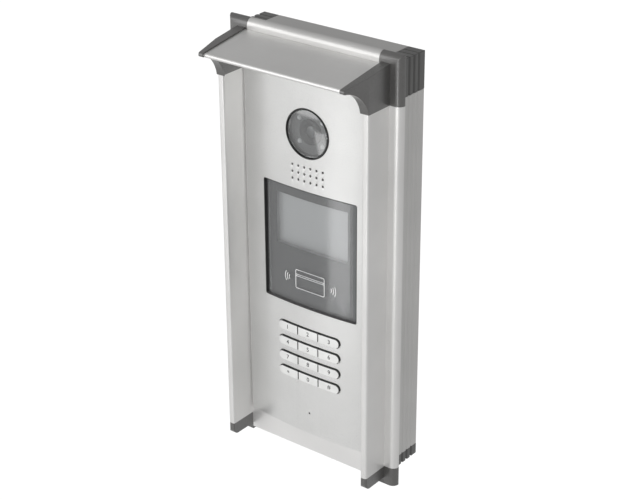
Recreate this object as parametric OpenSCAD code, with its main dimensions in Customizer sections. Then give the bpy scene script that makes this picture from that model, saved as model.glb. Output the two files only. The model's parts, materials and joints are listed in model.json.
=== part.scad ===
// Outdoor video intercom station for a wall: a ribbed surface box, a framed
// front with two forward fins and a rain canopy, and a flat metal panel that
// carries the camera, speaker, screen, card reader, twelve keys and microphone.
// The origin is the centre of the back face. X is to the right, Y into the wall
// and Z up, all in millimetres.

/* [Wall box] */
// Width of the ribbed box
box_w = 147; // [140:1:150]
// Height of the ribbed box
box_h = 335; // [330:1:340]
// Depth of the ribbed box
box_d = 30.4; // [28:0.2:34]
// Thickness of the box walls
box_wall = 3; // [2.5:0.5:4]
// Height of the dark blocks at the two top corners
top_block_h = 28.6; // [20:0.2:40]
// Height of the dark blocks at the two bottom corners
bottom_block_h = 9; // [8:1:20]
// Width of the corner blocks along the top and bottom
block_w = 14; // [10:1:20]
// Distance between the grooves along the box sides
rib_pitch = 5.9; // [5:0.1:6.6]
// Depth of each groove
rib_depth = 0.9; // [0.4:0.1:1.2]

/* [Front frame] */
// Overall width of the frame
frame_w = 158; // [156:1:162]
// Depth of the frame behind its front face
frame_d = 5.6; // [5:0.2:7]
// Height of the frame's top above the centre of the box
frame_top = 174; // [171:0.5:178]
// Depth of the frame's bottom below the centre of the box
frame_bottom = 176.5; // [173:0.5:180]
// Radius of the frame's rounded outer edge
frame_r = 5.4; // [3:0.2:5.4]
// Depth of the dark feet's bottom below the centre of the box
foot_bottom = 179; // [177:0.5:182]
// Thickness of the flat webs behind the panel
web_t = 2; // [1.5:0.5:3]
// Half of the width that is open behind the panel
window_half = 54; // [50:1:55]
// Inner side of each fin, from the centre line
fin_inner = 63.6; // [62:0.1:66]
// Outer side of each fin, from the centre line
fin_outer = 69.1; // [68:0.1:70]
// How far each fin stands in front of the panel's face
fin_out = 18.2; // [14:0.1:24]
// Height of the end of the fins' aluminium under the canopy ends
fin_top = 136; // [120:0.5:140]
// Depth of the lower end of the fins' aluminium below the centre of the box
fin_bottom = 163; // [160:0.5:165]

/* [Canopy] */
// Height of the canopy's rear edge
canopy_rear_z = 166.6; // [163:0.1:168]
// Slope of the canopy
canopy_slope = 8.8; // [6:0.2:16]
// How far the canopy reaches in front of the frame's front face
canopy_reach = 46.3; // [38:0.1:50]
// Thickness of the canopy sheet
canopy_t = 1.8; // [1.2:0.2:2.4]
// Half of the canopy's width between its end pieces
canopy_half = 62.6; // [60:0.1:64]

/* [Panel] */
// Width of the front panel
panel_w = 124.8; // [112:0.2:125.2]
// Height of the panel's top edge
panel_top = 162; // [158:0.5:162]
// Depth of the panel's bottom edge
panel_bottom = 156.8; // [152:0.1:158]
// Thickness of the panel sheet
panel_t = 2; // [1.5:0.1:2.2]
// How far the panel's face stands in front of the frame's front face
panel_out = 5.8; // [4:0.2:6]
// Radius of the panel's bow about an upright axis
arch_r = 400; // [300:10:800]

/* [Camera and speaker] */
// Height of the camera's centre
camera_z = 99.4; // [96:0.2:102]
// Radius of the camera opening in the panel
camera_r = 19.9; // [18:0.1:20.2]
// How far the camera's cover is domed
cover_dome = 1.2; // [0.6:0.1:2]
// Sideways distance of the infrared LEDs from the lens
led_x = 10.7; // [9:0.1:11]
// Vertical distance of the infrared LEDs from the lens
led_z = 9.2; // [8:0.1:10]
// Height of the middle row of speaker holes
speaker_z = 66.7; // [65:0.1:68]
// Sideways pitch of the speaker holes
speaker_px = 5.7; // [5:0.1:6]
// Vertical pitch of the speaker holes
speaker_pz = 5.6; // [4.5:0.1:5.8]
// Radius of a speaker hole
speaker_hole_r = 1; // [0.6:0.05:1.2]

/* [Window and screen] */
// Width of the window cut-out
window_w = 88.2; // [84:0.2:90]
// Height of the window cut-out
window_h = 98.8; // [92:0.2:100]
// Height of the middle of the window
window_z = 4; // [2:0.1:6]
// How far the glass lies behind the panel's face
window_recess = 1.2; // [0.5:0.1:2]
// Visible width of the screen
screen_w = 68; // [60:0.2:70]
// Visible height of the screen
screen_h = 42.5; // [40:0.5:48]
// Height of the middle of the screen
screen_z = 22.8; // [22:0.2:26]
// How far the screen lies behind its mask
screen_recess = 5; // [2:0.5:6]

/* [Keypad] */
// Width of a row of three keys
row_w = 60.2; // [56:0.2:64]
// Height of a row's slot
slot_h = 8.9; // [7:0.1:9.6]
// Distance from one row to the next
row_pitch = 13.4; // [12:0.1:14]
// Depth of the first row's middle below the centre of the box
row_1_z = 66.5; // [64:0.5:70]
// Gap round and between the keys
key_gap = 0.9; // [0.5:0.1:1]
// How far the keys stand out of the panel
key_out = 1.5; // [1:0.1:2]
// Travel of a key
key_travel = 0.8; // [0.5:0.1:0.8]
// Depth of the microphone hole below the centre of the box
mic_z = 138.1; // [134:0.1:142]

/* [Mounting] */
// Sideways distance between the wall screws
screw_x = 100; // [80:1:110]
// Vertical distance between the wall screws
screw_z = 250; // [200:1:260]
// Radius of a wall screw hole
screw_r = 2.3; // [2:0.1:3]
// Depth of the cable entry below the centre of the box
cable_z = 95; // [80:1:105]
// Radius of the cable's way through the grommet
cable_r = 5; // [4:0.5:7]

/* [Hidden] */
$fn = 48;
eps = 0.01;
plate_t = 2;
seal_t = 0.6;
slot_w = row_w;
half_w = box_w / 2;
half_h = box_h / 2;
frame_back = -box_d - seal_t;
frame_front = frame_back - frame_d;
panel_face = frame_front - panel_out;
panel_back = panel_face + panel_t;
fin_front = panel_face - fin_out;
bead_x = fin_outer + 1.3;
top_root_z = canopy_rear_z;
rail_half = 60;
rail_web_top = panel_top - 5;
glass_t = 2;
bezel_r = camera_r - 0.1;
mask_gap = 0.05;
mask_t = 0.5;
mask_front = window_recess + glass_t + mask_gap;
mask_depth = mask_front + mask_t;
mask_back = panel_face + mask_depth;
antenna_face = mask_back + 2.1;
antenna_t = 1.6;
screen_face = mask_back + screen_recess;
carrier_face = -29.4;
carrier_t = 1.5;
board_face = -20;
board_t = 1.6;
key_w = (row_w - 4 * key_gap) / 3;
key_h = slot_h - 2 * key_gap;
key_step = key_w + key_gap;
flange = 1.2;
key_play = 0.3;
key_back = panel_back + 2.3;
mat_face = key_back + key_travel + key_play;
mat_t = 1.4;
bezel_lip = 1;
bezel_wall = 2;
bezel_depth = 11.4;
barrel_r = 9.8;
led_r = 2;
led_face = 4.4;
speaker_w = 36;
speaker_h = 19;
gasket_w = 2;
gasket_face = panel_back + 0.45;
speaker_face = panel_back + 1.5;
speaker_t = 3.5;
mic_r = 6;
mic_t = 3;
rim = 0.7;
pane_w = window_w - 2 * rim;
pane_h = window_h - 2 * rim;
pane_back = frame_front + 3;
antenna_w = 78;
antenna_h = 34;
antenna_z = -25;
antenna_open_w = 50;
antenna_open_h = 14;
antenna_post_x = 35;
carrier_w = 106;
carrier_side_x = 56;
key_post_x = 30;
board_w = 96;
board_h = 220;
board_screw_x = 43;
board_screw_z = 102;
terminal_z = -60;
terminal_pitch = 5;
foot_drop = 10.4;
carrier_h = 304;
level_depth = rib_depth - 0.15;
block_groove = rib_depth + 0.4;
lock_x = 40;
lock_y = -box_d + 2.6;

KEYS = ["key_1", "key_2", "key_3", "key_4", "key_5", "key_6",
        "key_7", "key_8", "key_9", "key_star", "key_0", "key_hash"];
FIXED = ["back_plate", "side_profile_left", "side_profile_right", "top_profile",
         "bottom_profile", "corner_top_left", "corner_top_right",
         "corner_bottom_left", "corner_bottom_right", "box_seal",
         "fin_stile_left", "fin_stile_right", "top_rail", "bottom_rail",
         "frame_cap_left", "frame_cap_right", "foot_cap_left", "foot_cap_right",
         "canopy", "canopy_end_left", "canopy_end_right", "front_panel",
         "camera_bezel", "camera_window", "led_plate", "infrared_leds",
         "lens_barrel", "lens", "camera_board", "speaker_gasket", "speaker",
         "window_frame", "window_glass", "screen_mask", "screen_holder",
         "screen", "reader_antenna", "keypad_mat", "keypad_board",
         "microphone", "module_carrier", "main_board", "terminal_block",
         "standoffs", "board_screws", "locking_screws", "cable_grommet"];

// ---- shared shapes ----

// A cylinder along Y from y0 to y1
module rod_y(r, y0, y1, x = 0, z = 0) {
    translate([x, y1, z]) rotate([90, 0, 0]) cylinder(h = y1 - y0, r = r);
}

// A box given by its centre in X and Z and its limits in Y
module slab(w, h, y0, y1, x = 0, z = 0) {
    translate([x - w / 2, y0, z - h / 2]) cube([w, y1 - y0, h]);
}

// A plate in the XZ plane with rounded corners
module round_slab(w, h, r, y0, y1, x = 0, z = 0) {
    translate([x, y1, z]) rotate([90, 0, 0]) linear_extrude(y1 - y0) round_rect(w, h, r);
}

module round_rect(w, h, r) {
    square([w - 2 * r, h], center = true);
    square([w, h - 2 * r], center = true);
    for (sx = [-1, 1], sz = [-1, 1])
        translate([sx * (w / 2 - r), sz * (h / 2 - r)]) circle(r);
}

// Everything that lies more than depth behind the panel's bowed face
module behind_face(depth) {
    translate([0, panel_face + arch_r, 0])
        cylinder(h = 2 * box_h, r = arch_r - depth, center = true, $fn = 720);
}

// The part of its children that lies between two depths behind the bowed face
module bowed(depth_0, depth_1) {
    difference() {
        intersection() {
            children();
            behind_face(depth_0);
        }
        behind_face(depth_1);
    }
}

// Puts a YZ outline at x0 and extrudes it to x1
module along_x(x0, x1) {
    translate([x0, 0, 0]) rotate([90, 0, 90]) linear_extrude(x1 - x0) children();
}

// Mirrors a right-hand piece to the left
module to_left() {
    mirror([1, 0, 0]) children();
}

// Points of an arc, angles in degrees
function arc(cx, cy, rx, ry, a0, a1, n = 12) =
    [for (i = [0:n]) let (a = a0 + (a1 - a0) * i / n) [cx + rx * cos(a), cy + ry * sin(a)]];

// ---- wall box ----

// Y positions of the grooves, counted from the wall
function groove_y() = [for (i = [1:4]) -i * rib_pitch - 1.2];

// Cross-section of one ribbed wall: s is the distance across, outer face at s = 0
module ribbed_wall(depth) {
    difference() {
        translate([-box_wall, -box_d]) square([box_wall, box_d]);
        for (y = groove_y())
            translate([0, y]) rotate(45) square(depth * sqrt(2), center = true);
    }
}

module side_profile_right() {
    color([0.72, 0.72, 0.71])
    translate([half_w, 0, -half_h + bottom_block_h])
        linear_extrude(box_h - top_block_h - bottom_block_h) ribbed_wall(rib_depth);
}

module side_profile_left() {
    to_left() side_profile_right();
}

// A top or bottom wall from its cross-section
module level_profile(side) {
    mirror([0, 0, side > 0 ? 0 : 1])
    translate([-(half_w - block_w), 0, half_h])
    rotate([0, -90, 0]) mirror([0, 0, 1])
        linear_extrude(box_w - 2 * block_w) children();
}

// The top wall is plain
module top_profile() {
    color([0.7, 0.7, 0.69])
    level_profile(1) translate([-box_wall, -box_d]) square([box_wall, box_d]);
}

// The bottom wall also has two holes for the locking screws
module bottom_profile() {
    color([0.7, 0.7, 0.69])
    difference() {
        level_profile(-1) ribbed_wall(level_depth);
        for (sx = [-1, 1])
            translate([sx * lock_x, lock_y, -half_h - 1]) cylinder(h = box_wall + 2, r = 1.5);
    }
}

// An L-shaped corner of the box, with the ribs carried round it
module corner_block(h) {
    color([0.25, 0.25, 0.24])
    difference() {
        translate([half_w - block_w, -box_d, half_h - h]) cube([block_w, box_d, h]);
        translate([half_w - block_w - 1, -box_d - 1, half_h - h - 1])
            cube([block_w - box_wall + 1, box_d + 2, h - box_wall + 1]);
        for (y = groove_y()) {
            translate([half_w, y, half_h - h - 1]) linear_extrude(h + 2) rotate(45)
                square(block_groove * sqrt(2), center = true);
            translate([half_w - block_w - 1, y, half_h]) rotate([90, 0, 90])
                linear_extrude(block_w + 2) rotate(45) square(level_depth * sqrt(2), center = true);
        }
    }
}

module corner_top_right() {
    corner_block(top_block_h);
}

module corner_top_left() {
    to_left() corner_block(top_block_h);
}

module corner_bottom_right() {
    mirror([0, 0, 1]) corner_block(bottom_block_h);
}

module corner_bottom_left() {
    to_left() mirror([0, 0, 1]) corner_block(bottom_block_h);
}

// Flat plate that is screwed to the wall, inside the box's walls
module back_plate() {
    color([0.55, 0.56, 0.57])
    difference() {
        slab(box_w - 2 * box_wall, box_h - 2 * box_wall, -plate_t, 0);
        for (sx = [-1, 1], sz = [-1, 1])
            rod_y(screw_r, -plate_t - 1, 1, sx * screw_x / 2, sz * screw_z / 2);
        rod_y(cable_r + 3, -plate_t - 1, 1, 0, -cable_z);
    }
}

module cable_grommet() {
    color([0.12, 0.12, 0.12])
    translate([0, 0, -cable_z]) rotate([90, 0, 0])
        rotate_extrude() polygon([
            [cable_r, 0], [cable_r + 3, 0], [cable_r + 3, plate_t],
            [cable_r + 5, plate_t], [cable_r + 5, plate_t + 1.5],
            [cable_r + 2, plate_t + 4], [cable_r, plate_t + 4]]);
}

// Thin gasket between the box and the frame
module box_seal() {
    color([0.1, 0.1, 0.1])
    difference() {
        slab(box_w - 1, box_h - 1, frame_back, -box_d);
        slab(box_w - 2 * box_wall, box_h - 2 * box_wall, frame_back - 1, -box_d + 1);
    }
}

// ---- front frame ----

// Outline of the fin, seen along Z
module fin_outline() {
    r = 2;
    polygon(concat(
        [[fin_outer, frame_front + 0.5]],
        [[fin_inner, frame_front + 0.5]],
        arc(fin_inner + 1.2, fin_front + 1.2, 1.2, 1.2, 180, 270, 6),
        arc(fin_outer - r, fin_front + r, r, r, 270, 360, 8)));
}

// Flat column with a rounded edge at the side of the frame, seen along Z
module bead_outline() {
    polygon(concat(
        [[half_w - box_wall - 2, frame_back]],
        [[half_w - box_wall - 2, frame_front + 1.6]],
        [[bead_x - 0.6, frame_front + 1.6], [bead_x, frame_front]],
        arc(frame_w / 2 - frame_r, frame_front + frame_r, frame_r, frame_r, 270, 360, 12),
        [[frame_w / 2, frame_back]]));
}

// Whole cross-section of a stile without its hollow
module stile_outline() {
    fin_outline();
    bead_outline();
    translate([window_half, frame_front]) square([fin_outer - window_half, web_t]);
    translate([fin_inner, frame_front]) square([half_w - box_wall - fin_inner, web_t + 1]);
}

module fin_hollow() {
    translate([fin_inner + 1.8, fin_front + 2.4])
        square([fin_outer - fin_inner - 3.6, frame_front - fin_front - 4]);
}

module fin_stile_right() {
    color([0.76, 0.76, 0.75])
    translate([0, 0, -fin_bottom]) linear_extrude(fin_bottom + fin_top)
        difference() {
            stile_outline();
            fin_hollow();
        }
}

module fin_stile_left() {
    to_left() fin_stile_right();
}

// Top rail with a rounded upper edge, seen along X
module top_bead_outline() {
    polygon(concat(
        arc(frame_front + frame_r, frame_top - frame_r, -frame_r, frame_r, 0, 90, 12),
        [[frame_back, frame_top], [frame_back, half_h - box_wall - 2],
         [frame_front + web_t + 1, half_h - box_wall - 2],
         [frame_front + web_t + 1, rail_web_top + 3], [frame_front + web_t, rail_web_top],
         [frame_front, rail_web_top]]));
}

module top_rail() {
    color([0.82, 0.82, 0.81])
    difference() {
        along_x(-rail_half, rail_half) top_bead_outline();
        along_x(-rail_half - 1, rail_half + 1) canopy_outline();
    }
}

// Flat rail under the panel, with a shelf that runs back below the box
module bottom_rail() {
    color([0.82, 0.82, 0.82])
    difference() {
        union() {
            translate([-fin_inner, frame_front, -frame_bottom])
                cube([2 * fin_inner, web_t, frame_bottom - fin_bottom]);
            translate([-window_half, frame_front, -fin_bottom])
                cube([2 * window_half, web_t, fin_bottom - panel_bottom + 6]);
            translate([-fin_inner, frame_front, -frame_bottom])
                cube([2 * fin_inner, lock_y + 4 - frame_front, web_t]);
            translate([-fin_inner, frame_back - 1.2, -frame_bottom])
                cube([2 * fin_inner, 1.2, frame_bottom - half_h + box_wall + 2]);
        }
        for (sx = [-1, 1])
            translate([sx * lock_x, lock_y, -frame_bottom - 1]) cylinder(h = web_t + 2, r = 1.7);
    }
}

// Two screws that hold the front to the bottom of the box
module locking_screws() {
    color([0.6, 0.6, 0.6])
    for (sx = [-1, 1])
        translate([sx * lock_x, lock_y, -frame_bottom - 1.2]) {
            difference() {
                cylinder(h = 1.2, r = 2.4);
                translate([0, 0, -0.5]) cylinder(h = 1.3, r = 1, $fn = 6);
            }
            translate([0, 0, 1]) cylinder(h = frame_bottom - half_h + 4, r = 1.45);
        }
}

// Dark corner of the frame, where the two rounded edges meet in a mitre
module frame_cap_right() {
    color([0.24, 0.24, 0.23])
    difference() {
        frame_cap_body();
        along_x(window_half, canopy_half) canopy_outline();
    }
}

module frame_cap_body() {
    union() {
        intersection() {
            translate([0, 0, fin_top]) linear_extrude(frame_top - fin_top + 1)
                union() {
                    bead_outline();
                    translate([rail_half, frame_front]) square([bead_x - rail_half, frame_d]);
                }
            union() {
                along_x(rail_half, frame_w / 2 + 1) top_bead_outline();
                translate([bead_x - 1.4, frame_front - 1, fin_top])
                    cube([frame_w / 2, frame_d + 1, top_root_z - fin_top]);
            }
        }
        translate([window_half, frame_front, fin_top])
            cube([bead_x - 1 - window_half, web_t, rail_web_top - fin_top]);
        translate([rail_half, frame_front, fin_top])
            cube([bead_x - 1 - rail_half, web_t, top_root_z - fin_top - 1]);
    }
}

module frame_cap_left() {
    to_left() frame_cap_right();
}

// Side view of the foot: rounded at the front, deeper under the column
module foot_side() {
    r = 5;
    polygon(concat(
        [[frame_back, -fin_bottom], [fin_front, -fin_bottom]],
        arc(fin_front + r, -fin_bottom - foot_drop + r, r, r, 180, 270, 8),
        [[frame_front - eps, -fin_bottom - foot_drop], [frame_front - eps, -foot_bottom],
         [frame_back, -foot_bottom]]));
}

// Dark foot under each fin and its column
module foot_cap_right() {
    color([0.26, 0.26, 0.25])
    union() {
        intersection() {
            along_x(fin_inner, frame_w / 2) foot_side();
            translate([0, 0, -foot_bottom - 1]) linear_extrude(foot_bottom)
                union() {
                    fin_outline();
                    bead_outline();
                    translate([fin_inner, frame_front]) square([half_w - box_wall - fin_inner, frame_d]);
                }
        }
        translate([fin_inner + 1.95, fin_front + 2.6, -fin_bottom - 1])
            cube([fin_outer - fin_inner - 3.9, 12, 7]);
    }
}

module foot_cap_left() {
    to_left() foot_cap_right();
}

// ---- canopy ----

// Side view of the canopy: a sheet that falls forwards, a rounded lip, and a tongue in the top rail
module canopy_outline() {
    lip_r = 1.7;
    lip_y = frame_front - canopy_reach;
    lip_z = top_root_z - canopy_reach * tan(canopy_slope);
    root_z = top_root_z - 0.9;
    polygon([
        [frame_front + 1.2, root_z], [frame_front, root_z],
        [lip_y + lip_r, lip_z + lip_r * tan(canopy_slope)],
        [lip_y + lip_r, lip_z - canopy_t],
        [frame_front, root_z - canopy_t], [frame_front + 1.2, root_z - canopy_t]]);
    translate([lip_y + lip_r, lip_z - lip_r + 0.3]) circle(lip_r);
}

module canopy() {
    color([0.68, 0.67, 0.66])
    along_x(-canopy_half, canopy_half) canopy_outline();
}

// Side view of the canopy's end: it closes the canopy and caps the fin
module canopy_end_side() {
    tip_r = 1.8;
    tip_y = frame_front - canopy_reach - 1.6;
    tip_z = top_root_z - canopy_reach * tan(canopy_slope) - 0.9;
    hollow_r = 26.8;
    polygon(concat(
        [[frame_front, fin_top], [frame_front, top_root_z + 0.4]],
        arc(tip_y + tip_r, tip_z, tip_r, tip_r, 100, 260, 8),
        arc(fin_front - 26.4, fin_top - 5.5, hollow_r, hollow_r, 78, 14, 16),
        [[fin_front - 0.4, fin_top]]));
}

module canopy_end_right() {
    taper = 4.2;
    taper_y = 25;
    color([0.27, 0.27, 0.26])
    difference() {
        union() {
            intersection() {
                along_x(canopy_half - 0.9, fin_outer + 0.4) canopy_end_side();
                translate([0, 0, fin_top - 1]) linear_extrude(60) polygon([
                    [canopy_half - 0.9, frame_front], [fin_outer + 0.4, frame_front],
                    [fin_outer + 0.4, fin_front], [fin_outer + 0.4 - taper, fin_front - taper_y],
                    [canopy_half - 0.9, fin_front - taper_y]]);
            }
            translate([fin_inner + 1.95, fin_front + 2.6, fin_top - 6])
                cube([fin_outer - fin_inner - 3.9, 12, 7]);
        }
        along_x(canopy_half - 2, canopy_half) canopy_outline();
        translate([canopy_half - 2, fin_front - 0.2, fin_top - 1])
            cube([fin_inner - canopy_half + 2, 40, top_root_z - fin_top - 8]);
    }
}

module canopy_end_left() {
    to_left() canopy_end_right();
}

// ---- front panel ----

// Outline of one row's slot: straight sides with round ends
module row_outline(w, h) {
    square([w - h, h], center = true);
    for (s = [-1, 1])
        translate([s * (w - h) / 2, 0]) circle(h / 2);
}

function row_z(row) = -row_1_z - row * row_pitch;

// Bowed sheet with its edges turned back to the frame
module front_panel() {
    mid_z = (panel_top - panel_bottom) / 2;
    high = panel_top + panel_bottom;
    front = panel_face - 1;
    rear = frame_front + 1;
    color([0.87, 0.87, 0.86])
    difference() {
        intersection() {
            round_slab(panel_w, high, 1, panel_face - eps, frame_front, 0, mid_z);
            behind_face(0);
        }
        intersection() {
            slab(panel_w - 2 * panel_t, high - 2 * panel_t, panel_face, rear, 0, mid_z);
            behind_face(panel_t);
        }
        rod_y(camera_r, front, rear, 0, camera_z);
        for (i = [0:5], j = [-1:1])
            rod_y(speaker_hole_r, front, rear, (i - 2.5) * speaker_px, speaker_z + j * speaker_pz);
        round_slab(window_w, window_h, 1.6, front, rear, 0, window_z);
        for (row = [0:3])
            translate([0, rear, row_z(row)]) rotate([90, 0, 0])
                linear_extrude(rear - front) row_outline(slot_w, slot_h);
        rod_y(0.9, front, rear, 0, -mic_z);
    }
}

// ---- camera ----

// Turned parts of the camera: the profile's second value is depth behind the panel's face
module turned(profile) {
    translate([0, panel_face, camera_z]) rotate([-90, 0, 0]) rotate_extrude($fn = 72) polygon(profile);
}

module camera_bezel() {
    lip = panel_t + 1.2;
    inner = bezel_r - bezel_wall;
    color([0.13, 0.13, 0.13])
    union() {
        turned([[bezel_r - bezel_lip, -0.7], [bezel_r - 0.5, -0.7], [bezel_r, -0.2], [bezel_r, lip],
                [bezel_r - 0.6, lip], [bezel_r - 0.6, bezel_depth], [inner, bezel_depth],
                [inner, 1.7], [bezel_r - bezel_lip, 1.7]]);
        intersection() {
            turned([[bezel_r - 0.3, panel_t], [bezel_r + 1.8, panel_t], [bezel_r + 1.8, lip],
                    [bezel_r - 0.3, lip]]);
            behind_face(panel_t);
        }
    }
}

// Clear cover with a gently domed front
module camera_window() {
    r = bezel_r - bezel_lip - 0.05;
    dome = [for (i = [0:10]) [r * i / 10, 0.1 - cover_dome * (1 - i * i / 100)]];
    color([0.5, 0.52, 0.52, 0.4])
    turned(concat(dome, [[r, 1.65], [0, 1.65]]));
}

module led_plate() {
    color([0.3, 0.3, 0.3])
    difference() {
        turned([[barrel_r + 0.4, led_face], [bezel_r - bezel_wall - 0.05, led_face],
                [bezel_r - bezel_wall - 0.05, led_face + 1], [barrel_r + 0.4, led_face + 1]]);
        for (sx = [-1, 1], sz = [-1, 1])
            rod_y(led_r + 0.15, panel_face + led_face - 1, panel_face + led_face + 2,
                  sx * led_x, camera_z + sz * led_z);
    }
}

module infrared_leds() {
    color([0.8, 0.8, 0.82])
    for (sx = [-1, 1], sz = [-1, 1])
        translate([sx * led_x, panel_face + led_face + 1, camera_z + sz * led_z]) {
            sphere(led_r, $fn = 32);
            rotate([-90, 0, 0]) cylinder(h = 3, r = led_r, $fn = 32);
        }
}

module lens_barrel() {
    color([0.16, 0.16, 0.17])
    turned([[5.2, 4.6], [7.2, 3.2], [barrel_r, 3.2], [barrel_r, 9], [8, 9],
            [8, bezel_depth], [3, bezel_depth], [3, 7], [5.2, 7]]);
}

module lens() {
    color([0.2, 0.22, 0.3])
    turned(concat([[0, 6.9], [5.1, 6.9]], arc(0, 6, 5.1, -1.8, 0, 80, 8), [[0, 4.2]]));
}

module camera_board() {
    color([0.1, 0.3, 0.18])
    slab(36, 36, panel_face + bezel_depth, carrier_face, 0, camera_z);
}

// ---- speaker and microphone ----

module speaker_gasket() {
    color([0.1, 0.1, 0.1])
    difference() {
        slab(speaker_w, speaker_h, gasket_face, speaker_face, 0, speaker_z);
        slab(speaker_w - 2 * gasket_w, speaker_h - 2 * gasket_w, panel_back, speaker_face + 1,
             0, speaker_z);
    }
}

module speaker() {
    color([0.35, 0.35, 0.36])
    union() {
        slab(speaker_w, speaker_h, speaker_face, speaker_face + speaker_t, 0, speaker_z);
        rod_y(8, speaker_face + speaker_t, carrier_face, 0, speaker_z);
    }
}

module microphone() {
    color([0.2, 0.2, 0.2])
    union() {
        difference() {
            intersection() {
                rod_y(mic_r, panel_back, panel_back + mic_t, 0, -mic_z);
                behind_face(panel_t);
            }
            rod_y(1.2, panel_back - 1, panel_back + 1, 0, -mic_z);
        }
        rod_y(mic_r - 1.2, panel_back + mic_t, carrier_face, 0, -mic_z);
    }
}

// ---- window and screen ----

// Thin black rim round the glass, with a flange behind the panel; all bowed like the panel
module window_frame() {
    color([0.08, 0.08, 0.08])
    difference() {
        union() {
            bowed(0.1, mask_depth)
                round_slab(window_w - 0.2, window_h - 0.2, 1.5, panel_face, pane_back, 0, window_z);
            bowed(panel_t, mask_depth)
                round_slab(window_w + 5, window_h + 5, 2, panel_face, pane_back, 0, window_z);
        }
        slab(pane_w, pane_h, panel_face - 1, pane_back, 0, window_z);
    }
}

module window_glass() {
    color([0.25, 0.26, 0.27, 0.5])
    bowed(window_recess, window_recess + glass_t)
        slab(pane_w, pane_h, panel_face, pane_back, 0, window_z);
}

// Black printed sheet behind the glass, open over the screen
module screen_mask() {
    color([0.1, 0.1, 0.11])
    difference() {
        bowed(mask_front, mask_depth)
            slab(pane_w, pane_h, panel_face, pane_back, 0, window_z);
        slab(screen_w, screen_h, panel_face, pane_back, 0, screen_z);
    }
}

// Tray that sets the screen back from the mask
module screen_holder() {
    color([0.3, 0.3, 0.31])
    difference() {
        intersection() {
            slab(screen_w + 10, screen_h + 6, mask_back, carrier_face, 0, screen_z);
            behind_face(mask_depth);
        }
        slab(screen_w + 0.8, screen_h + 0.8, mask_back - 1, screen_face + eps, 0, screen_z);
        slab(screen_w + 6, screen_h + 3, screen_face, carrier_face + 1, 0, screen_z);
    }
}

module screen() {
    color([0.55, 0.56, 0.56])
    slab(screen_w + 5.8, screen_h + 2.8, screen_face, carrier_face, 0, screen_z);
}

module reader_antenna() {
    color([0.12, 0.35, 0.2])
    difference() {
        slab(antenna_w, antenna_h, antenna_face, antenna_face + antenna_t, 0, antenna_z);
        slab(antenna_open_w, antenna_open_h, antenna_face - 1, antenna_face + 3, 0, antenna_z);
    }
}

// ---- keypad ----

// One key: col is -1, 0 or 1; the outer keys have a round outer end
module key(row, col) {
    color([0.88, 0.88, 0.87])
    union() {
        intersection() {
            key_block(row, col, 0, panel_face - key_out - eps);
            behind_face(-key_out);
        }
        intersection() {
            key_block(row, col, flange, panel_back);
            behind_face(panel_t + key_play);
        }
    }
}

// A key's outline from its back to the given front
module key_block(row, col, grow, front) {
    translate([0, key_back, row_z(row)]) rotate([90, 0, 0])
        linear_extrude(key_back - front) key_outline(col, grow);
}

module key_outline(col, grow) {
    side = key_gap / 4;
    left = col * key_step - key_w / 2;
    wide = row_w - 2 * key_gap;
    intersection() {
        row_outline(wide + 2 * grow, key_h + 2 * grow);
        translate([left - (col == -1 ? grow : min(side, grow)), -key_h])
            square([key_w + (col == 0 ? 2 * min(side, grow) : min(side, grow) + grow), 2 * key_h]);
    }
}

module keypad_mat() {
    color([0.12, 0.12, 0.12])
    slab(row_w + 8, 4 * row_pitch + 4, mat_face, mat_face + mat_t, 0, row_z(1.5));
}

module keypad_board() {
    color([0.1, 0.3, 0.18])
    slab(row_w + 10, 4 * row_pitch + 6, mat_face + mat_t, mat_face + mat_t + board_t, 0, row_z(1.5));
}

// ---- inside the box ----

// Tray behind the panel that the modules are fixed to
module module_carrier() {
    post = mat_face + mat_t + board_t;
    color([0.35, 0.36, 0.37])
    difference() {
        union() {
            slab(carrier_w, carrier_h, carrier_face, carrier_face + carrier_t);
            for (sx = [-1, 1])
                slab(2, carrier_h, frame_front + web_t, carrier_face + carrier_t, sx * carrier_side_x);
            for (sx = [-1, 1])
                slab(4, carrier_h, carrier_face, carrier_face + carrier_t, sx * (carrier_side_x - 1));
            for (sx = [-1, 1], z = [row_z(0), row_z(3)])
                rod_y(2.5, post, carrier_face + 1, sx * key_post_x, z);
            for (sx = [-1, 1], sz = [-1, 1])
                rod_y(2, antenna_face + antenna_t, carrier_face + 1,
                      sx * antenna_post_x, antenna_z + sz * 13);
        }
        slab(30, 10, carrier_face - 1, carrier_face + 3, 0, -50);
    }
}

module main_board() {
    color([0.09, 0.3, 0.17])
    difference() {
        union() {
            slab(board_w, board_h, board_face, board_face + board_t);
            slab(30, 30, board_face + board_t, board_face + board_t + 3, 20, 50);
            slab(18, 18, board_face + board_t, board_face + board_t + 2, -25, 30);
            for (i = [0:2])
                rod_y(4, board_face + board_t, board_face + board_t + 9, -30 + i * 12, 80);
        }
        for (sx = [-1, 1], sz = [-1, 1])
            rod_y(1.6, board_face - 1, board_face + board_t + 1, sx * board_screw_x, sz * board_screw_z);
    }
}

module terminal_block() {
    poles = 6;
    color([0.15, 0.4, 0.25])
    difference() {
        slab(poles * terminal_pitch, 10, board_face + board_t, board_face + board_t + 11,
             0, terminal_z);
        for (i = [0:poles - 1])
            translate([(i - (poles - 1) / 2) * terminal_pitch, board_face + board_t + 4, terminal_z - 6])
                cylinder(h = 5, r = 1.6, $fn = 24);
    }
}

module standoffs() {
    color([0.7, 0.7, 0.65])
    for (sx = [-1, 1], sz = [-1, 1])
        difference() {
            rod_y(3, board_face + board_t, -plate_t, sx * board_screw_x, sz * board_screw_z);
            rod_y(1.25, board_face, board_face + 9, sx * board_screw_x, sz * board_screw_z);
        }
}

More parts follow.
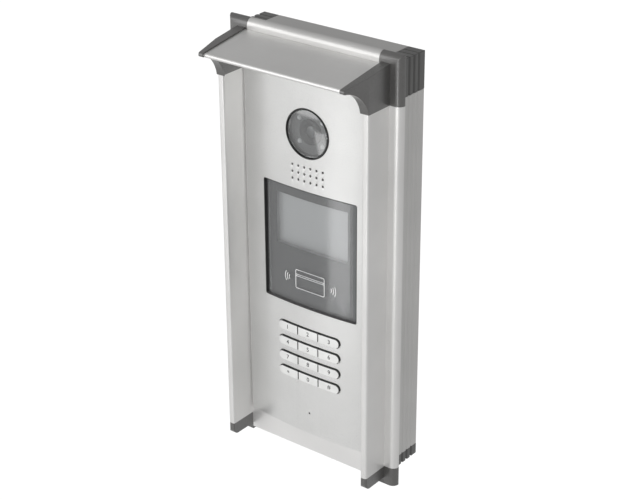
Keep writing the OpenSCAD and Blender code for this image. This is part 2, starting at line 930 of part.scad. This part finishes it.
module board_screws() {
    color([0.75, 0.75, 0.76])
    for (sx = [-1, 1], sz = [-1, 1])
        union() {
            rod_y(2.8, board_face - 1.8, board_face, sx * board_screw_x, sz * board_screw_z);
            rod_y(1.24, board_face - 0.5, board_face + 8, sx * board_screw_x, sz * board_screw_z);
        }
}

back_plate();
side_profile_left();
side_profile_right();
top_profile();
bottom_profile();
corner_top_left();
corner_top_right();
corner_bottom_left();
corner_bottom_right();
box_seal();
fin_stile_left();
fin_stile_right();
top_rail();
bottom_rail();
frame_cap_left();
frame_cap_right();
foot_cap_left();
foot_cap_right();
canopy();
canopy_end_left();
canopy_end_right();
front_panel();
camera_bezel();
camera_window();
led_plate();
infrared_leds();
lens_barrel();
lens();
camera_board();
speaker_gasket();
speaker();
window_frame();
window_glass();
screen_mask();
screen_holder();
screen();
reader_antenna();
keypad_mat();
keypad_board();
microphone();
module_carrier();
main_board();
terminal_block();
standoffs();
board_screws();
locking_screws();
cable_grommet();
key(0, -1);  // key_1
key(0, 0);  // key_2
key(0, 1);  // key_3
key(1, -1);  // key_4
key(1, 0);  // key_5
key(1, 1);  // key_6
key(2, -1);  // key_7
key(2, 0);  // key_8
key(2, 1);  // key_9
key(3, -1);  // key_star
key(3, 0);  // key_0
key(3, 1);  // key_hash
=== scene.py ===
"""Looks of the outdoor video intercom station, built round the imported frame.

Everything is in metres in the part's own frame: the origin is the centre of the
back face, +X to the right, +Y into the wall and +Z up.
"""

import json
import math

import bmesh
import bpy
from mathutils import Matrix, Vector


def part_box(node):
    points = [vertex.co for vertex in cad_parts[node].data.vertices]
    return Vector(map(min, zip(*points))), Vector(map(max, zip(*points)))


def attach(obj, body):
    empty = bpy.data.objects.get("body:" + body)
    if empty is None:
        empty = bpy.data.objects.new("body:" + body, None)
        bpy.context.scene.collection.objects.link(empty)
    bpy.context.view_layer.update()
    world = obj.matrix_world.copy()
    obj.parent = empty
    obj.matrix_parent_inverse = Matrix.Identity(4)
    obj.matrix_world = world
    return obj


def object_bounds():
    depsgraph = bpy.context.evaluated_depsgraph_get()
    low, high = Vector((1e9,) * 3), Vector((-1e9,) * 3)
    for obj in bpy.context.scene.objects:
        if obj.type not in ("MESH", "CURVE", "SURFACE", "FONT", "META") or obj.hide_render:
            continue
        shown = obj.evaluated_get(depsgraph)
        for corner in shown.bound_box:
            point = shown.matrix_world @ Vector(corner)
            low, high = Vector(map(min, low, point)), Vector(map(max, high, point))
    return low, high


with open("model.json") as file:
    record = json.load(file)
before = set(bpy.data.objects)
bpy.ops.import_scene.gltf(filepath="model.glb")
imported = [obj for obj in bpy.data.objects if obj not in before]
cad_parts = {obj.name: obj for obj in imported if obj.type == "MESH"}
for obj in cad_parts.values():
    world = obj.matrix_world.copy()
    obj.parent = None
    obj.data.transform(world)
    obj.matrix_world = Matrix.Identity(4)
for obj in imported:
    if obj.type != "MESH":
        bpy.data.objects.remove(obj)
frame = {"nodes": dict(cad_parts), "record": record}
cad_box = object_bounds()
nodes = frame["nodes"]
scene = bpy.context.scene

MM = 0.001
HOUSING = "housing"

# The front panel, the window pane and the key fronts are bowed to this radius
BOW_RADIUS = 0.400

# Where the ramp of a noise texture starts and ends
NOISE_LOW, NOISE_HIGH = 0.3, 0.7

# ---- camera ----

CAMERA_AZIMUTH = math.radians(38.285)
CAMERA_ELEVATION = math.radians(25.956)
CAMERA_ROLL = math.radians(0.455)
CAMERA_PLACE = Vector((0.7105, -0.9370, 0.5616))
CAMERA_LENS = 97.115
SENSOR_WIDTH = 36.0


def make_camera():
    """A long lens in front of the object, to the right and above."""
    data = bpy.data.cameras.new("camera")
    data.sensor_width = SENSOR_WIDTH
    data.lens = CAMERA_LENS
    data.clip_start = 0.05
    camera = bpy.data.objects.new("camera", data)
    scene.collection.objects.link(camera)
    level = math.cos(CAMERA_ELEVATION)
    back = Vector((
        math.sin(CAMERA_AZIMUTH) * level,
        -math.cos(CAMERA_AZIMUTH) * level,
        math.sin(CAMERA_ELEVATION),
    ))
    right = Vector((math.cos(CAMERA_AZIMUTH), math.sin(CAMERA_AZIMUTH), 0))
    up = back.cross(right)
    turned_right = right * math.cos(CAMERA_ROLL) - up * math.sin(CAMERA_ROLL)
    turned_up = right * math.sin(CAMERA_ROLL) + up * math.cos(CAMERA_ROLL)
    rows = Matrix((turned_right, turned_up, back)).transposed()
    camera.matrix_world = Matrix.Translation(CAMERA_PLACE) @ rows.to_4x4()
    scene.camera = camera


# ---- light and floor ----

STUDIO_STRENGTH = 0.74
STUDIO_BACK = 0.24
FLOOR_GLOW = 0.62
SEEN_WHITE = 1.05
STUDIO_DIRECTION = (0.6, 0.8, 0)
FLOOR_DROP = 0.45
FLOOR_HALF = 8.0


def area_light(name, place, target, width, height, power):
    """A soft box at place that faces target."""
    data = bpy.data.lights.new(name, "AREA")
    data.shape = "RECTANGLE"
    data.size = width
    data.size_y = height
    data.energy = power
    light = bpy.data.objects.new(name, data)
    light.location = place
    light.rotation_euler = (Vector(target) - Vector(place)).to_track_quat("-Z", "Y").to_euler()
    scene.collection.objects.link(light)


def make_world():
    """White to the eye; to the surfaces, a soft studio, brightest in front and to the left."""
    world = bpy.data.worlds.new("studio")
    scene.world = world
    world.use_nodes = True
    tree = world.node_tree
    tree.nodes.clear()
    output = tree.nodes.new("ShaderNodeOutputWorld")
    mix = tree.nodes.new("ShaderNodeMixShader")
    path = tree.nodes.new("ShaderNodeLightPath")
    seen = tree.nodes.new("ShaderNodeBackground")
    seen.inputs["Color"].default_value = (1, 1, 1, 1)
    seen.inputs["Strength"].default_value = SEEN_WHITE
    studio = tree.nodes.new("ShaderNodeBackground")
    studio.inputs["Strength"].default_value = STUDIO_STRENGTH
    coordinates = tree.nodes.new("ShaderNodeTexCoord")
    along = tree.nodes.new("ShaderNodeVectorMath")
    along.operation = "DOT_PRODUCT"
    along.inputs[1].default_value = STUDIO_DIRECTION
    ramp = tree.nodes.new("ShaderNodeMapRange")
    ramp.inputs["From Min"].default_value = -1.0
    ramp.inputs["From Max"].default_value = 1.0
    ramp.inputs["To Min"].default_value = 1.0
    ramp.inputs["To Max"].default_value = STUDIO_BACK
    links = tree.links
    links.new(coordinates.outputs["Generated"], along.inputs[0])
    links.new(along.outputs["Value"], ramp.inputs["Value"])
    links.new(ramp.outputs["Result"], studio.inputs["Color"])
    links.new(path.outputs["Is Camera Ray"], mix.inputs["Fac"])
    links.new(studio.outputs["Background"], mix.inputs[1])
    links.new(seen.outputs["Background"], mix.inputs[2])
    links.new(mix.outputs["Shader"], output.inputs["Surface"])


def make_floor():
    """A plain pale floor well below the station, which hangs on a wall."""
    level = cad_box[0].z - FLOOR_DROP
    mesh = bpy.data.meshes.new("floor")
    square = ((-1, -1), (1, -1), (1, 1), (-1, 1))
    corners = [(x * FLOOR_HALF, y * FLOOR_HALF, level) for x, y in square]
    mesh.from_pydata(corners, [], [(0, 1, 2, 3)])
    floor = bpy.data.objects.new("floor", mesh)
    scene.collection.objects.link(floor)
    material = bpy.data.materials.new("floor")
    material.use_nodes = True
    tree = material.node_tree
    tree.nodes.clear()
    output = tree.nodes.new("ShaderNodeOutputMaterial")
    mix = tree.nodes.new("ShaderNodeMixShader")
    path = tree.nodes.new("ShaderNodeLightPath")
    seen = tree.nodes.new("ShaderNodeEmission")
    seen.inputs["Strength"].default_value = SEEN_WHITE
    glow = tree.nodes.new("ShaderNodeEmission")
    glow.inputs["Strength"].default_value = FLOOR_GLOW
    tree.links.new(path.outputs["Is Camera Ray"], mix.inputs["Fac"])
    tree.links.new(glow.outputs["Emission"], mix.inputs[1])
    tree.links.new(seen.outputs["Emission"], mix.inputs[2])
    tree.links.new(mix.outputs["Shader"], output.inputs["Surface"])
    mesh.materials.append(material)


def make_lights():
    """Two soft boxes in front, and a small one that edges the window and the camera cover."""
    target = (0, -0.03, 0)
    area_light("front_left", (-1.1, -1.5, 0.40), target, 1.4, 1.5, 9.8)
    area_light("front_right", (0.42, -1.82, 0.1), target, 0.4, 1.8, 12.0)
    glass = (0, -0.04, 0)
    area_light("strip", (-0.50, -1.0, -0.50), glass, 0.15, 0.42, 0.30)


# ---- materials ----

def new_material(name):
    material = bpy.data.materials.new(name)
    material.use_nodes = True
    return material, material.node_tree, material.node_tree.nodes["Principled BSDF"]


def place_vector(tree, stretch=(1, 1, 1)):
    """Object coordinates in metres, squeezed along each axis by stretch."""
    coordinates = tree.nodes.new("ShaderNodeTexCoord")
    mapping = tree.nodes.new("ShaderNodeMapping")
    mapping.inputs["Scale"].default_value = stretch
    tree.links.new(coordinates.outputs["Object"], mapping.inputs["Vector"])
    return mapping.outputs["Vector"]


def noise_value(tree, vector, scale, detail=3.0, roughness=0.5):
    texture = tree.nodes.new("ShaderNodeTexNoise")
    texture.inputs["Scale"].default_value = scale
    texture.inputs["Detail"].default_value = detail
    texture.inputs["Roughness"].default_value = roughness
    tree.links.new(vector, texture.inputs["Vector"])
    return texture.outputs["Fac"]


def remap(tree, value, low, high, out_low, out_high):
    node = tree.nodes.new("ShaderNodeMapRange")
    node.inputs["From Min"].default_value = low
    node.inputs["From Max"].default_value = high
    node.inputs["To Min"].default_value = out_low
    node.inputs["To Max"].default_value = out_high
    tree.links.new(value, node.inputs["Value"])
    return node.outputs["Result"]


def blend_colours(tree, value, dark, light):
    node = tree.nodes.new("ShaderNodeMix")
    node.data_type = "RGBA"
    node.inputs["A"].default_value = (*dark, 1)
    node.inputs["B"].default_value = (*light, 1)
    tree.links.new(value, node.inputs["Factor"])
    return node.outputs["Result"]


def add_bump(tree, shader, value, strength, distance, before=None):
    bump = tree.nodes.new("ShaderNodeBump")
    bump.inputs["Strength"].default_value = strength
    bump.inputs["Distance"].default_value = distance
    tree.links.new(value, bump.inputs["Height"])
    if before is not None:
        tree.links.new(before, bump.inputs["Normal"])
    tree.links.new(bump.outputs["Normal"], shader.inputs["Normal"])
    return bump.outputs["Normal"]


def blasted_metal(name, colour, metallic=0.75, roughness=0.42):
    """Bead-blasted, anodised aluminium: a fine grain and faint clouds in the colour."""
    material, tree, shader = new_material(name)
    plain = place_vector(tree)
    clouds = noise_value(tree, plain, 22, 4, 0.55)
    grain = noise_value(tree, plain, 5200, 2, 0.6)
    dark = tuple(c * 0.955 for c in colour)
    light = tuple(min(1.0, c * 1.035) for c in colour)
    cloudy = remap(tree, clouds, NOISE_LOW, NOISE_HIGH, 0, 1)
    tree.links.new(blend_colours(tree, cloudy, dark, light), shader.inputs["Base Color"])
    uneven = remap(tree, grain, NOISE_LOW, NOISE_HIGH, roughness - 0.05, roughness + 0.06)
    tree.links.new(uneven, shader.inputs["Roughness"])
    shader.inputs["Metallic"].default_value = metallic
    add_bump(tree, shader, grain, 0.12, 0.00004)
    return material


def drawn_metal(name, colour, along, metallic=0.7, roughness=0.4):
    """Anodised extrusion: faint die lines along one axis under a satin surface."""
    material, tree, shader = new_material(name)
    stretch = [1.0, 1.0, 1.0]
    stretch["XYZ".index(along)] = 0.006
    lines = noise_value(tree, place_vector(tree, stretch), 1500, 3, 0.6)
    plain = place_vector(tree)
    grain = noise_value(tree, plain, 5200, 2, 0.6)
    clouds = noise_value(tree, plain, 16, 3, 0.5)
    dark = tuple(c * 0.95 for c in colour)
    light = tuple(min(1.0, c * 1.04) for c in colour)
    cloudy = remap(tree, clouds, NOISE_LOW, NOISE_HIGH, 0, 1)
    tree.links.new(blend_colours(tree, cloudy, dark, light), shader.inputs["Base Color"])
    uneven = remap(tree, lines, NOISE_LOW, NOISE_HIGH, roughness - 0.05, roughness + 0.07)
    tree.links.new(uneven, shader.inputs["Roughness"])
    shader.inputs["Metallic"].default_value = metallic
    first = add_bump(tree, shader, lines, 0.10, 0.00003)
    add_bump(tree, shader, grain, 0.08, 0.00003, first)
    return material


def moulded_plastic(name, colour, roughness=0.5, grain_scale=2600, grain=0.25,
                    specular=0.45, coat=0.0):
    """Spark-eroded plastic: a fine leathery grain and slightly uneven gloss."""
    material, tree, shader = new_material(name)
    plain = place_vector(tree)
    fine = noise_value(tree, plain, grain_scale, 3, 0.6)
    clouds = noise_value(tree, plain, 60, 3, 0.5)
    dark = tuple(c * 0.88 for c in colour)
    light = tuple(min(1.0, c * 1.12) for c in colour)
    cloudy = remap(tree, clouds, NOISE_LOW, NOISE_HIGH, 0, 1)
    tree.links.new(blend_colours(tree, cloudy, dark, light), shader.inputs["Base Color"])
    uneven = remap(tree, fine, NOISE_LOW, NOISE_HIGH, roughness - 0.06, roughness + 0.08)
    tree.links.new(uneven, shader.inputs["Roughness"])
    shader.inputs["Specular IOR Level"].default_value = specular
    shader.inputs["Coat Weight"].default_value = coat
    shader.inputs["Coat Roughness"].default_value = 0.35
    add_bump(tree, shader, fine, grain, 0.00006)
    return material


def clear_glass(name, tint, roughness, share, haze):
    """A thin smoked pane: clear but tinted and slightly hazy, with a constant share of gloss."""
    material = bpy.data.materials.new(name)
    material.use_nodes = True
    tree = material.node_tree
    tree.nodes.clear()
    output = tree.nodes.new("ShaderNodeOutputMaterial")
    through = tree.nodes.new("ShaderNodeBsdfTransparent")
    through.inputs["Color"].default_value = (*tint, 1)
    veil = tree.nodes.new("ShaderNodeBsdfDiffuse")
    veil.inputs["Color"].default_value = (0.8, 0.8, 0.8, 1)
    body = tree.nodes.new("ShaderNodeMixShader")
    body.inputs["Fac"].default_value = haze
    gloss = tree.nodes.new("ShaderNodeBsdfGlossy")
    gloss.inputs["Color"].default_value = (1, 1, 1, 1)
    gloss.inputs["Roughness"].default_value = roughness
    mix = tree.nodes.new("ShaderNodeMixShader")
    mix.inputs["Fac"].default_value = share
    tree.links.new(through.outputs["BSDF"], body.inputs[1])
    tree.links.new(veil.outputs["BSDF"], body.inputs[2])
    tree.links.new(body.outputs["Shader"], mix.inputs[1])
    tree.links.new(gloss.outputs["BSDF"], mix.inputs[2])
    tree.links.new(mix.outputs["Shader"], output.inputs["Surface"])
    return material


def key_material():
    """Satin steel on the front; the sides are painted near-black, a painted shade of the gap round
    each key.
    """
    material, tree, shader = new_material("key_metal")
    plain = place_vector(tree)
    grain = noise_value(tree, plain, 4200, 2, 0.6)
    clouds = noise_value(tree, plain, 90, 3, 0.5)
    cloudy = remap(tree, clouds, NOISE_LOW, NOISE_HIGH, 0, 1)
    front = blend_colours(tree, cloudy, (0.80, 0.80, 0.79), (0.88, 0.88, 0.87))
    geometry = tree.nodes.new("ShaderNodeNewGeometry")
    axes = tree.nodes.new("ShaderNodeSeparateXYZ")
    tree.links.new(geometry.outputs["True Normal"], axes.inputs["Vector"])
    # 1 on the key's front; the sides get the painted shade
    front_not_painted_shade = remap(tree, axes.outputs["Y"], -0.75, -0.35, 1, 0)
    mix = tree.nodes.new("ShaderNodeMix")
    mix.data_type = "RGBA"
    # Painted shade: the key's sides, away from its front, take this near-black colour
    mix.inputs["A"].default_value = (0.05, 0.05, 0.05, 1)
    tree.links.new(front, mix.inputs["B"])
    tree.links.new(front_not_painted_shade, mix.inputs["Factor"])
    tree.links.new(mix.outputs["Result"], shader.inputs["Base Color"])
    tree.links.new(remap(tree, front_not_painted_shade, 0, 1, 0.0, 0.55), shader.inputs["Metallic"])
    uneven = remap(tree, grain, NOISE_LOW, NOISE_HIGH, 0.33, 0.43)
    tree.links.new(uneven, shader.inputs["Roughness"])
    add_bump(tree, shader, grain, 0.08, 0.00003)
    return material


def rim_material():
    """Black moulding whose upward faces are painted lighter: painted light from the sky above."""
    material, tree, shader = new_material("rim_plastic")
    geometry = tree.nodes.new("ShaderNodeNewGeometry")
    axes = tree.nodes.new("ShaderNodeSeparateXYZ")
    tree.links.new(geometry.outputs["True Normal"], axes.inputs["Vector"])
    # Painted light: faces turned upwards get the lighter grey in their colour
    painted_top_light = remap(tree, axes.outputs["Z"], 0.3, 0.8, 0, 1)
    colour = blend_colours(tree, painted_top_light, (0.022, 0.022, 0.022), (0.12, 0.12, 0.12))
    tree.links.new(colour, shader.inputs["Base Color"])
    shader.inputs["Roughness"].default_value = 0.5
    return material


def flat_print(name, colour, roughness=0.45):
    """Screen-printed ink with a slightly uneven film."""
    material, tree, shader = new_material(name)
    film = noise_value(tree, place_vector(tree), 1800, 3, 0.6)
    dark = tuple(c * 0.9 for c in colour)
    tree.links.new(blend_colours(tree, film, dark, colour), shader.inputs["Base Color"])
    uneven = remap(tree, film, NOISE_LOW, NOISE_HIGH, roughness - 0.05, roughness + 0.05)
    tree.links.new(uneven, shader.inputs["Roughness"])
    return material


def screen_material():
    """A switched-off screen: grey, with a very fine cell grid and an anti-glare film."""
    material, tree, shader = new_material("screen_grey")
    plain = place_vector(tree)
    sparkle = noise_value(tree, plain, 6000, 1, 0.5)
    tree.links.new(blend_colours(tree, sparkle, (0.54, 0.545, 0.54), (0.66, 0.665, 0.66)),
                   shader.inputs["Base Color"])
    shader.inputs["Roughness"].default_value = 0.32
    shader.inputs["Specular IOR Level"].default_value = 0.6
    add_bump(tree, shader, sparkle, 0.05, 0.00002)
    return material


def board_material():
    """Green solder mask over copper tracks."""
    material, tree, shader = new_material("board_green")
    plain = place_vector(tree, (1, 0.2, 1))
    brick = tree.nodes.new("ShaderNodeTexBrick")
    brick.inputs["Scale"].default_value = 140
    brick.inputs["Mortar Size"].default_value = 0.03
    tree.links.new(plain, brick.inputs["Vector"])
    brick.inputs["Color1"].default_value = (0.03, 0.14, 0.07, 1)
    brick.inputs["Color2"].default_value = (0.035, 0.17, 0.08, 1)
    brick.inputs["Mortar"].default_value = (0.06, 0.24, 0.12, 1)
    tree.links.new(brick.outputs["Color"], shader.inputs["Base Color"])
    shader.inputs["Roughness"].default_value = 0.35
    return material


def make_materials():
    """One material for each slot of the record, variants for some nodes, and the printed marks."""
    return {
        "panel_metal": blasted_metal("panel_metal", (0.76, 0.76, 0.75), 0.75, 0.31),
        "frame_metal": drawn_metal("frame_metal", (0.76, 0.755, 0.745), "Z"),
        "frame_metal_x": drawn_metal("frame_metal_x", (0.76, 0.755, 0.745), "X"),
        # Painted shade: a darker copy of the frame metal, for the top rail
        "bead_metal_painted_shade": drawn_metal("bead_metal_painted_shade", (0.64, 0.635, 0.625), "X"),
        "rail_metal": drawn_metal("rail_metal", (0.80, 0.795, 0.785), "X"),
        "box_metal": drawn_metal("box_metal", (0.60, 0.595, 0.585), "Z"),
        "box_metal_x": drawn_metal("box_metal_x", (0.60, 0.595, 0.585), "X"),
        "sheet_steel": blasted_metal("sheet_steel", (0.45, 0.46, 0.47), 0.8, 0.45),
        # Painted shade: a darker, less glossy copy of the dark plastic, for the four corner blocks
        "block_plastic_painted_shade": moulded_plastic("block_plastic_painted_shade", (0.050, 0.049, 0.046), 0.34,
                                         specular=0.75, coat=0.5),
        "dark_plastic": moulded_plastic("dark_plastic", (0.056, 0.054, 0.051), 0.30,
                                        specular=1.0, coat=1.0),
        "black_plastic": moulded_plastic("black_plastic", (0.022, 0.022, 0.022), 0.45),
        "black_rubber": moulded_plastic("black_rubber", (0.02, 0.02, 0.02), 0.75, 1400),
        "window_glass": clear_glass("window_glass", (0.86, 0.865, 0.87), 0.10, 0.07, 0.02),
        "camera_glass": clear_glass("camera_glass", (0.84, 0.85, 0.85), 0.08, 0.15, 0.01),
        "lens_glass": clear_glass("lens_glass", (0.35, 0.37, 0.42), 0.03, 0.15, 0.02),
        "led_clear": moulded_plastic("led_clear", (0.95, 0.95, 0.97), 0.12, 600, 0.02),
        "black_print": flat_print("black_print", (0.155, 0.157, 0.155), 0.4),
        "white_print": flat_print("white_print", (0.85, 0.85, 0.85), 0.4),
        "grey_print": flat_print("grey_print", (0.055, 0.055, 0.055), 0.5),
        "screen_grey": screen_material(),
        "module_plastic": moulded_plastic("module_plastic", (0.26, 0.26, 0.265), 0.5),
        "ring_plastic": moulded_plastic("ring_plastic", (0.16, 0.16, 0.162), 0.5),
        "tray_plastic": moulded_plastic("tray_plastic", (0.50, 0.50, 0.50), 0.5),
        "board_green": board_material(),
        "rim_plastic": rim_material(),
        "key_metal": key_material(),
        "terminal_green": moulded_plastic("terminal_green", (0.05, 0.22, 0.10), 0.4),
        "zinc": blasted_metal("zinc", (0.62, 0.62, 0.61), 1.0, 0.3),
    }


make_camera()
make_world()
make_floor()
make_lights()
materials = make_materials()

# ---- looks of the CAD nodes ----

# Nodes whose material differs from their slot's: lying extrusions, and darker or lighter
# mouldings. The darker top rail and corner blocks are painted shade.
NODE_MATERIALS = {
    "top_profile": "box_metal_x",
    "bottom_profile": "box_metal_x",
    # The corner blocks' darker plastic is painted shade
    "corner_top_left": "block_plastic_painted_shade",
    "corner_top_right": "block_plastic_painted_shade",
    "corner_bottom_left": "block_plastic_painted_shade",
    "corner_bottom_right": "block_plastic_painted_shade",
    # The top rail's darker metal is painted shade
    "top_rail": "bead_metal_painted_shade",
    "bottom_rail": "rail_metal",
    "canopy": "frame_metal_x",
    "screen_holder": "tray_plastic",
    "led_plate": "ring_plastic",
    "window_frame": "rim_plastic",
}
# Width of the rounded edges in mm, where it isn't the usual one
USUAL_BEVEL = 0.35
BEVELS = {"front_panel": 0.25, "canopy": 0.3, "window_frame": 0.12, "camera_bezel": 0.1}
BEVEL_ANGLE = math.radians(35)
WELD_DISTANCE = 0.01 * MM
# Boards, panes and gaskets keep sharp edges
SHARP_NODES = {
    "main_board", "keypad_board", "camera_board", "reader_antenna", "screen", "screen_mask",
    "window_glass", "camera_window", "lens", "infrared_leds", "box_seal", "speaker_gasket",
}
# A bevel folds over itself between the screw holes of these plates, so they have none
FLAT_NODES = {"back_plate", "bottom_profile", "bottom_rail"}


def finish_node(name, node, slot_name):
    """Gives a CAD node its material, joined vertices and, unless listed, round edges."""
    node.data.materials.clear()
    node.data.materials.append(materials[NODE_MATERIALS.get(name, slot_name)])
    weld = node.modifiers.new("weld", "WELD")
    weld.merge_threshold = WELD_DISTANCE
    if name not in SHARP_NODES | FLAT_NODES:
        bevel = node.modifiers.new("bevel", "BEVEL")
        bevel.width = BEVELS.get(name, USUAL_BEVEL) * MM
        bevel.segments = 2
        bevel.limit_method = "ANGLE"
        bevel.angle_limit = BEVEL_ANGLE
    faces = node.data.polygons
    faces.foreach_set("use_smooth", [name not in FLAT_NODES] * len(faces))
    normals = node.modifiers.new("normals", "WEIGHTED_NORMAL")
    normals.keep_sharp = True
    normals.weight = 60


for entry in frame["record"]["subparts"]:
    finish_node(entry["node"], nodes[entry["node"]], entry["material_slot"])


# ---- marks on the keys ----

LEGEND_SIZE = 5.0 * MM
LEGEND_THICKNESS = 0.02 * MM
LEGEND_BOLDNESS = 0.06 * MM
LEGEND_LIFT = 0.01 * MM
LEGENDS = {"key_star": "*", "key_0": "0", "key_hash": "#"}
LEGENDS.update({f"key_{digit}": str(digit) for digit in range(1, 10)})


def follow_bow(mesh, front):
    """Lays a flat print on a face bowed like the panel, whose foremost line is at front."""
    for vertex in mesh.vertices:
        vertex.co.y += front + vertex.co.x ** 2 / (2 * BOW_RADIUS)


def make_legend(key, mark):
    """The number printed on a key's front, riding with the key."""
    low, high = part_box(key)
    curve = bpy.data.curves.new(f"legend_{key}", "FONT")
    curve.body = mark
    curve.size = LEGEND_SIZE
    curve.align_x = "CENTER"
    curve.align_y = "CENTER"
    curve.extrude = LEGEND_THICKNESS
    curve.offset = LEGEND_BOLDNESS
    text = bpy.data.objects.new(f"legend_{key}_text", curve)
    scene.collection.objects.link(text)
    bpy.context.view_layer.update()
    mesh = bpy.data.meshes.new_from_object(text)
    bpy.data.objects.remove(text)
    centre = (low + high) / 2
    box_low = Vector([min(v.co[i] for v in mesh.vertices) for i in range(3)])
    box_high = Vector([max(v.co[i] for v in mesh.vertices) for i in range(3)])
    middle = (box_low + box_high) / 2
    mesh.transform(Matrix.Translation(-middle))
    mesh.transform(Matrix.Rotation(math.radians(90), 4, "X"))
    mesh.transform(Matrix.Translation((centre.x, 0, centre.z)))
    follow_bow(mesh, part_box("key_5")[0].y - LEGEND_LIFT)
    mesh.materials.append(materials["grey_print"])
    legend = bpy.data.objects.new(f"legend_{key}", mesh)
    scene.collection.objects.link(legend)
    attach(legend, key)


for key, mark in LEGENDS.items():
    make_legend(key, mark)


# ---- card symbol ----

CARD_X, CARD_Z = 0.5 * MM, -23.0 * MM
CARD_WIDTH, CARD_HEIGHT, CARD_CORNER = 27.4 * MM, 15.6 * MM, 1.2 * MM
STRIPE_DROPS = (3.9 * MM, 5.3 * MM)
WAVE_X, WAVE_DROP, WAVE_SPREAD = 17.0 * MM, 0.4 * MM, 34
WAVE_RADII = (3.4 * MM, 5.4 * MM, 7.4 * MM)
LINE_WIDTH, LINE_THICKNESS, LINE_LIFT = 0.55 * MM, 0.04 * MM, 0.05 * MM


def ribbon_mesh(name, strokes, width, thickness):
    """Flat printed lines in the XZ plane; each stroke is (points, closed)."""
    made = bmesh.new()
    for points, closed in strokes:
        count = len(points)
        rings = []
        for i, (x, z) in enumerate(points):
            before = points[i - 1] if closed or i > 0 else points[i]
            after = points[(i + 1) % count] if closed or i < count - 1 else points[i]
            along = Vector((after[0] - before[0], after[1] - before[1])).normalized()
            side = Vector((-along.y, along.x)) * width / 2
            ring = [made.verts.new((x + side.x * s, depth, z + side.y * s))
                    for s, depth in ((1, 0), (-1, 0), (-1, thickness), (1, thickness))]
            rings.append(ring)
        last = count if closed else count - 1
        for i in range(last):
            one, two = rings[i], rings[(i + 1) % count]
            for k in range(4):
                made.faces.new((one[k], one[(k + 1) % 4], two[(k + 1) % 4], two[k]))
        if not closed:
            made.faces.new(rings[0][::-1])
            made.faces.new(rings[-1])
    bmesh.ops.recalc_face_normals(made, faces=made.faces)
    mesh = bpy.data.meshes.new(name)
    made.to_mesh(mesh)
    made.free()
    return mesh


def arc_points(x, z, radius, start, end, steps):
    span = [math.radians(start + (end - start) * i / steps) for i in range(steps + 1)]
    return [(x + radius * math.cos(a), z + radius * math.sin(a)) for a in span]


def rounded_outline(x, z, width, height, radius):
    corners = ((1, 1, 0), (-1, 1, 90), (-1, -1, 180), (1, -1, 270))
    points = []
    for sx, sz, start in corners:
        points += arc_points(x + sx * (width / 2 - radius), z + sz * (height / 2 - radius),
                             radius, start, start + 90, 5)
    return points


def make_card_symbol():
    """An outlined card with a striped band, and radio waves to both sides."""
    glass_low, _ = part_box("window_glass")
    outline = rounded_outline(CARD_X, CARD_Z, CARD_WIDTH, CARD_HEIGHT, CARD_CORNER)
    strokes = [(outline, True)]
    left, right = CARD_X - CARD_WIDTH / 2, CARD_X + CARD_WIDTH / 2
    for drop in STRIPE_DROPS:
        stripe_z = CARD_Z + CARD_HEIGHT / 2 - drop
        strokes.append(([(left, stripe_z), (right, stripe_z)], False))
    for side in (-1, 1):
        turn = 0 if side > 0 else 180
        for radius in WAVE_RADII:
            points = arc_points(CARD_X + side * WAVE_X, CARD_Z - WAVE_DROP, radius,
                                turn - WAVE_SPREAD, turn + WAVE_SPREAD, 12)
            strokes.append((points, False))
    mesh = ribbon_mesh("card_symbol", strokes, LINE_WIDTH, LINE_THICKNESS)
    follow_bow(mesh, glass_low.y - LINE_LIFT)
    mesh.materials.append(materials["white_print"])
    symbol = bpy.data.objects.new("card_symbol", mesh)
    scene.collection.objects.link(symbol)
    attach(symbol, HOUSING)


make_card_symbol()

# ---- the end ----

scene.view_settings.view_transform = "Standard"
scene.view_settings.look = "None"
